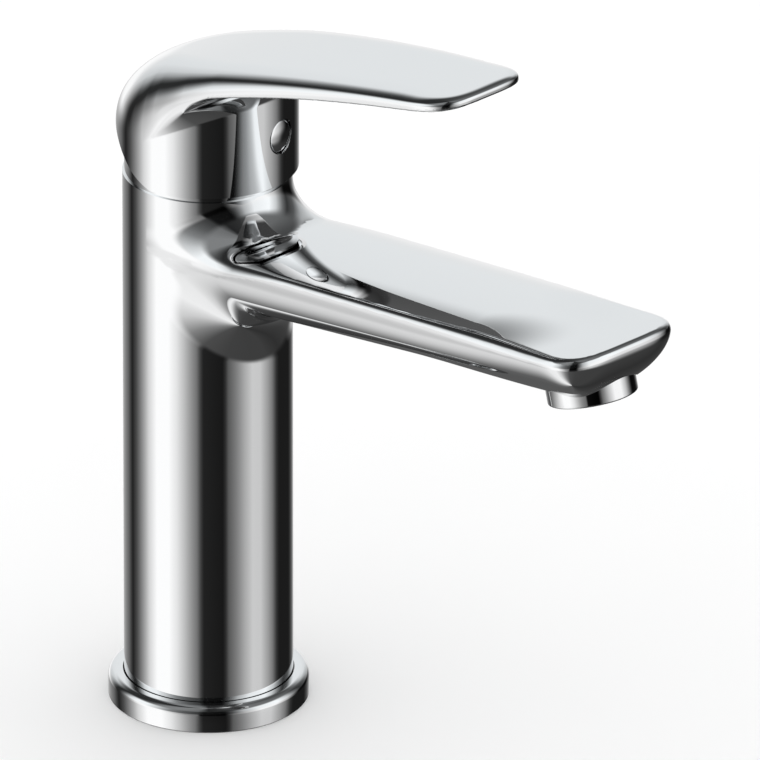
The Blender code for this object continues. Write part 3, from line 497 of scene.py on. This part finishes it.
def make_plug():
    """The screw's cover: a disc with a slightly domed face."""
    edge = 0.4 * MM
    face = [((PLUG_R - edge) * i / 8, PLUG_FACE) for i in range(8)]
    profile = face + arc(PLUG_R - edge, PLUG_FACE - edge, edge, 90, 0, 5)
    profile += [(PLUG_R, PLUG_LOW), (0, PLUG_LOW)]
    profile = [(r, z - r ** 2 / (2 * PLUG_DOME_R) * (z > PLUG_LOW)) for r, z in profile]
    return lathe("screw_plug", profile, 64, PLUG_PLACE)


def make_base_ring():
    _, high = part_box("base_ring")
    outer, height, inner = high.x, high.z, COLUMN_R + RING_GAP
    groove_in, groove_out, deep = RING_GROOVE
    bevel = 0.3 * MM
    profile = [(inner, height)] + arc(outer - RING_EDGE_R, height - RING_EDGE_R, RING_EDGE_R, 90, 0, 10)
    profile += [(outer, bevel), (outer - bevel, 0.0), (groove_out, 0.0), (groove_out, deep),
                (groove_in, deep), (groove_in, 0.0), (inner, 0.0)]
    return lathe("base_trim", profile, 160)


def make_cover_cap():
    low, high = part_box("cover_cap")
    neck, wall = high.x, 2 * MM
    turns = [radians(8 + 22 * i / 8) for i in range(9)]
    dome = [(CAP_SPHERE_R * cos(t), CAP_CENTRE + CAP_SPHERE_R * sin(t)) for t in turns]
    inner = [(r - CAP_WALL, z - CAP_WALL / 2) for r, z in dome]
    profile = ([(CAP_HOLE_R, high.z), (dome[-1][0] - wall, high.z)] + dome[::-1]
               + [(neck, CAP_SHOULDER), (neck, low.z), (neck - wall, low.z), (neck - wall, CAP_SHOULDER)]
               + inner + [(CAP_HOLE_R, high.z - 1.3 * MM)])
    return lathe("neck_cap", profile, 128)


def make_aerator_housing():
    edge, lip = 0.5 * MM, 1.2 * MM
    profile = [(AERATOR_BORE_R, AERATOR_TALL), (AERATOR_R, AERATOR_TALL)]
    profile += arc(AERATOR_R - edge, edge, edge, 0, -90, 5)
    profile += [(AERATOR_LIP_R, 0.0), (AERATOR_LIP_R, lip), (AERATOR_BORE_R, lip)]
    return lathe("aerator_shell", profile, 96, AERATOR_PLACE)


# ================================================================ materials
def surface(name, colour, roughness, metallic=0.0, shift=0.05, spread=0.2, grain=400.0, stretch=(1, 1, 1),
            relief=0.1):
    """A material whose colour, gloss and surface vary a little, as real ones do.

    shift and spread are the shares by which colour and roughness vary; grain is per metre.
    """
    mat = bpy.data.materials.new(name)
    mat.use_nodes = True
    tree = mat.node_tree
    shader = tree.nodes["Principled BSDF"]
    shader.inputs["Metallic"].default_value = metallic
    where = tree.nodes.new("ShaderNodeMapping")
    where.inputs["Scale"].default_value = stretch
    tree.links.new(tree.nodes.new("ShaderNodeTexCoord").outputs["Object"], where.inputs["Vector"])

    def noise(scale, detail):
        node = tree.nodes.new("ShaderNodeTexNoise")
        node.inputs["Scale"].default_value = scale
        node.inputs["Detail"].default_value = detail
        tree.links.new(where.outputs["Vector"], node.inputs["Vector"])
        return node.outputs["Fac"]

    patches = noise(grain / 8, 3)
    tones = tree.nodes.new("ShaderNodeMix")
    tones.data_type = "RGBA"
    tones.inputs[6].default_value = (*[c * (1 - shift) for c in colour], 1)
    tones.inputs[7].default_value = (*[min(c * (1 + shift), 1) for c in colour], 1)
    tree.links.new(patches, tones.inputs[0])
    tree.links.new(tones.outputs[2], shader.inputs["Base Color"])
    gloss = tree.nodes.new("ShaderNodeMapRange")
    gloss.inputs["To Min"].default_value = roughness * (1 - spread)
    gloss.inputs["To Max"].default_value = roughness * (1 + spread)
    tree.links.new(noise(grain / 3, 4), gloss.inputs["Value"])
    tree.links.new(gloss.outputs["Result"], shader.inputs["Roughness"])
    bump = tree.nodes.new("ShaderNodeBump")
    bump.inputs["Strength"].default_value = relief
    bump.inputs["Distance"].default_value = 0.02 * MM
    tree.links.new(noise(grain, 5), bump.inputs["Height"])
    tree.links.new(bump.outputs["Normal"], shader.inputs["Normal"])
    return mat


def make_materials():
    """One material for each slot of the record."""
    return {
        "chrome": surface("polished_chrome", (0.94, 0.945, 0.95), 0.03, metallic=1.0, shift=0.006,
                          spread=0.35, grain=240, relief=0.01),
        "brass": surface("turned_brass", (0.72, 0.53, 0.26), 0.3, metallic=1.0, shift=0.10,
                         spread=0.3, grain=500, stretch=(1, 1, 12), relief=0.3),
        "steel": surface("drawn_steel", (0.60, 0.60, 0.59), 0.25, metallic=1.0, shift=0.06,
                         spread=0.3, grain=700, stretch=(1, 1, 6), relief=0.2),
        "ceramic": surface("ground_ceramic", (0.86, 0.85, 0.81), 0.16, shift=0.03, spread=0.3,
                           grain=900, relief=0.08),
        "plastic_white": surface("white_acetal", (0.80, 0.79, 0.75), 0.42, shift=0.03, spread=0.15,
                                 grain=1200, relief=0.3),
        "plastic_grey": surface("grey_nylon", (0.27, 0.28, 0.29), 0.48, shift=0.06, spread=0.15,
                                grain=1200, relief=0.35),
        "rubber": surface("black_rubber", (0.035, 0.035, 0.037), 0.7, shift=0.2, spread=0.12,
                          grain=1500, relief=0.5),
    }


# The carried-over CAD pieces of each material
CAD_LOOKS = {
    "rubber": ("base_gasket", "base_ring_oring", "aerator_washer", "seat_seal_hot", "seat_seal_cold",
               "seat_seal_outlet", "disc_seal_hot", "disc_seal_cold", "disc_seal_outlet"),
    "brass": ("foot_plate", "retaining_nut"),
    "plastic_white": ("cartridge_base", "hot_limit_ring", "rotor", "aerator_grid", "aerator_diffuser"),
    "plastic_grey": ("cartridge_housing", "disc_carrier", "spindle_bush", "aerator_insert"),
    "ceramic": ("fixed_ceramic_disc", "moving_ceramic_disc"),
    "steel": ("pivot_pin", "spindle", "grub_screw"),
}


def finish(obj, mat):
    obj.data.materials.clear()
    obj.data.materials.append(mat)


# ================================================================ light, floor and camera
# The studio that the chrome mirrors: white screens and dark flags, as (degrees round, brightness).
# Degrees are counted to the right from a line 45 degrees to the left of the spout.
SCREENS_FOOT = ((-180, 0.85), (-157, 0.58), (-138, 0.39), (-125, 0.15), (-114, 0.30), (-96, 0.65),
                (-88, 0.83), (-80, 0.93), (-74, 1.0), (-55, 1.0), (-43, 0.90), (-32, 0.74), (-21, 0.55),
                (-15, 0.45), (-10, 0.26), (-6, 0.15), (20, 0.12), (24, 0.20), (28, 0.35), (39, 0.49),
                (51, 0.66), (63, 0.79), (76, 0.78), (90, 0.60), (98, 0.47), (107, 0.21), (113, 0.13),
                (141, 0.13), (155, 0.35), (165, 0.64))
SCREENS_LOW = ((-180, 0.92), (-172, 0.98), (-152, 0.98), (-142, 0.80), (-132, 0.48), (-124, 0.18),
               (-118, 0.16), (-112, 0.30), (-104, 0.48), (-96, 0.70), (-90, 0.86), (-84, 0.95), (-76, 1.0),
               (-54, 1.0), (-40, 0.80), (-26, 0.56), (-12, 0.42), (-9, 0.08), (18, 0.04), (22, 0.20),
               (28, 0.42), (44, 0.74), (60, 0.97), (80, 0.97), (96, 0.74), (108, 0.42), (120, 0.07),
               (140, 0.07), (152, 0.40), (162, 0.88), (172, 0.95))
SCREENS_HIGH = ((-180, 0.90), (-160, 0.88), (-146, 0.80), (-136, 0.60), (-128, 0.34), (-122, 0.18),
                (-116, 0.18), (-110, 0.36), (-104, 0.60), (-97, 0.86), (-88, 0.98), (-74, 0.98),
                (-60, 0.80), (-44, 0.50), (-30, 0.36), (-12, 0.24), (-6, 0.10), (18, 0.08), (26, 0.28),
                (40, 0.70), (56, 0.94), (84, 1.0), (98, 0.80), (112, 0.42), (122, 0.22), (136, 0.34),
                (148, 0.66), (162, 0.86))
CEILING = ((-180, 0.26), (-157, 0.20), (-108, 0.18), (-92, 0.30), (-70, 0.50), (-40, 0.50), (-14, 0.42),
           (0, 0.16), (24, 0.20), (60, 0.45), (110, 0.40), (150, 0.30))
FLOOR_SIDE = ((-180, 0.34), (-150, 0.34), (-134, 0.37), (-116, 0.58), (-99, 0.80), (-84, 0.92),
              (-66, 0.94), (-50, 0.80), (-30, 0.50), (-10, 0.30), (20, 0.26), (60, 0.25), (90, 0.25),
              (120, 0.20), (150, 0.24))
# From the floor upwards, each band takes over between two heights in degrees
BANDS = ((SCREENS_FOOT, -34, -26), (SCREENS_LOW, -24, -13), (SCREENS_HIGH, -8, 3), (CEILING, 26, 44))
EVEN_LIGHT = (1.1, 1.1, 1.1, 1)        # what everything but the mirrors sees
SKY_TINT = (0.955, 0.985, 1.0, 1)      # above the horizon
DISPLAY_GAMMA = 2.2                    # the bands are given as they should look on a screen
WORLD_STRENGTH = 1.04


def world_nodes(tree):
    """Short functions that add one node each."""
    def math(operation, one, two=None):
        node = tree.nodes.new("ShaderNodeMath")
        node.operation = operation
        for socket, value in zip(node.inputs, (one, two)):
            if isinstance(value, (int, float)):
                socket.default_value = value
            elif value is not None:
                tree.links.new(value, socket)
        return node.outputs[0]

    def ramp(stops, where):
        node = tree.nodes.new("ShaderNodeValToRGB")
        node.color_ramp.interpolation = "LINEAR"
        stops = list(stops) + [(180, stops[0][1])]
        while len(node.color_ramp.elements) < len(stops):
            node.color_ramp.elements.new(0.5)
        for element, (degrees, bright) in zip(node.color_ramp.elements, stops):
            element.position = (degrees + 180) / 360
            element.color = (bright, bright, bright, 1)
        tree.links.new(where, node.inputs["Fac"])
        return node.outputs["Color"]

    def step(low, high, value):
        node = tree.nodes.new("ShaderNodeMapRange")
        node.interpolation_type = "SMOOTHSTEP"
        node.inputs["From Min"].default_value = low
        node.inputs["From Max"].default_value = high
        tree.links.new(value, node.inputs["Value"])
        return node.outputs["Result"]

    def mix(share, one, two):
        node = tree.nodes.new("ShaderNodeMix")
        node.data_type = "RGBA"
        tree.links.new(share, node.inputs[0])
        for socket, value in ((node.inputs[6], one), (node.inputs[7], two)):
            if isinstance(value, tuple):
                socket.default_value = value
            else:
                tree.links.new(value, socket)
        return node.outputs[2]

    return math, ramp, step, mix


def make_world():
    """A studio of white screens and dark flags that only mirrors see; all else sees even light."""
    world = bpy.data.worlds.new("studio")
    bpy.context.scene.world = world
    world.use_nodes = True
    tree = world.node_tree
    math, ramp, step, mix = world_nodes(tree)
    direction = tree.nodes.new("ShaderNodeTexCoord").outputs["Generated"]
    parts = tree.nodes.new("ShaderNodeSeparateXYZ")
    tree.links.new(direction, parts.inputs[0])
    x, y, z = parts.outputs
    front = math("MULTIPLY", math("ADD", x, y), -1.0)
    right = math("SUBTRACT", x, y)
    turn = math("ADD", math("DIVIDE", math("ARCTAN2", right, front), 2 * pi), 0.5)
    height = math("MULTIPLY", math("ARCSINE", z), 180 / pi)
    seen = ramp(FLOOR_SIDE, turn)
    for stops, low, high in BANDS:
        seen = mix(step(low, high, height), seen, ramp(stops, turn))
    gamma = tree.nodes.new("ShaderNodeGamma")
    gamma.inputs["Gamma"].default_value = DISPLAY_GAMMA
    tree.links.new(seen, gamma.inputs["Color"])
    path = tree.nodes.new("ShaderNodeLightPath")
    tinted = tree.nodes.new("ShaderNodeMix")
    tinted.data_type = "RGBA"
    tinted.blend_type = "MULTIPLY"
    tree.links.new(gamma.outputs["Color"], tinted.inputs[6])
    tinted.inputs[7].default_value = SKY_TINT
    tree.links.new(step(-8, 10, height), tinted.inputs[0])
    colour = mix(path.outputs["Is Glossy Ray"], EVEN_LIGHT, tinted.outputs[2])
    back = tree.nodes["Background"]
    tree.links.new(colour, back.inputs["Color"])
    back.inputs["Strength"].default_value = WORLD_STRENGTH
    bpy.context.scene.view_settings.view_transform = "Standard"


def make_floor():
    mesh = bpy.data.meshes.new("floor")
    size = 30.0
    corners = [(-size, -size, 0), (size, -size, 0), (size, size, 0), (-size, size, 0)]
    mesh.from_pydata(corners, [], [(0, 1, 2, 3)])
    floor = put("floor", mesh)
    pale = surface("pale_floor", (0.92, 0.92, 0.92), 0.8, shift=0.004, grain=40, relief=0.02)
    floor.data.materials.append(pale)
    floor.visible_glossy = False


def make_camera():
    view_width = 200.47 * MM
    lens, sensor = 1500.0, 36.0
    azimuth, elevation = radians(-45), radians(24.7)
    back = Vector((sin(azimuth) * cos(elevation), -cos(azimuth) * cos(elevation), sin(elevation)))
    camera = bpy.data.cameras.new("camera")
    camera.lens = lens
    camera.sensor_width = sensor
    camera.clip_end = 100
    obj = bpy.data.objects.new("camera", camera)
    bpy.context.scene.collection.objects.link(obj)
    right = Vector((cos(azimuth), sin(azimuth), 0))
    up = back.cross(right)
    # the picture's centre, seen from the column's foot, in the plane that is seen at full size
    to_right, to_up, nearer = 45.49 * MM, 82.48 * MM, 60 * MM
    aim = right * to_right + up * to_up + back * nearer
    obj.location = aim + back * (view_width / 2 * lens / (sensor / 2))
    obj.rotation_euler = back.to_track_quat("Z", "Y").to_euler()
    bpy.context.scene.camera = obj


# ================================================================ putting it together
def main():
    looks = make_materials()
    for make, node, body in (
        (make_body, "body", "mixer_body"),
        (make_base_ring, "base_ring", "mixer_body"),
        (make_cover_cap, "cover_cap", "mixer_body"),
        (make_aerator_housing, "aerator_housing", "mixer_body"),
        (make_handle, "handle", "lever"),
        (make_plug, "screw_cover", "lever"),
    ):
        piece = make()
        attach(piece, body)
        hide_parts(node)
        finish(piece, looks["chrome"])
    for slot, nodes in CAD_LOOKS.items():
        for node in nodes:
            finish(bpy.data.objects[node], looks[slot])
    make_world()
    make_floor()
    make_camera()


main()
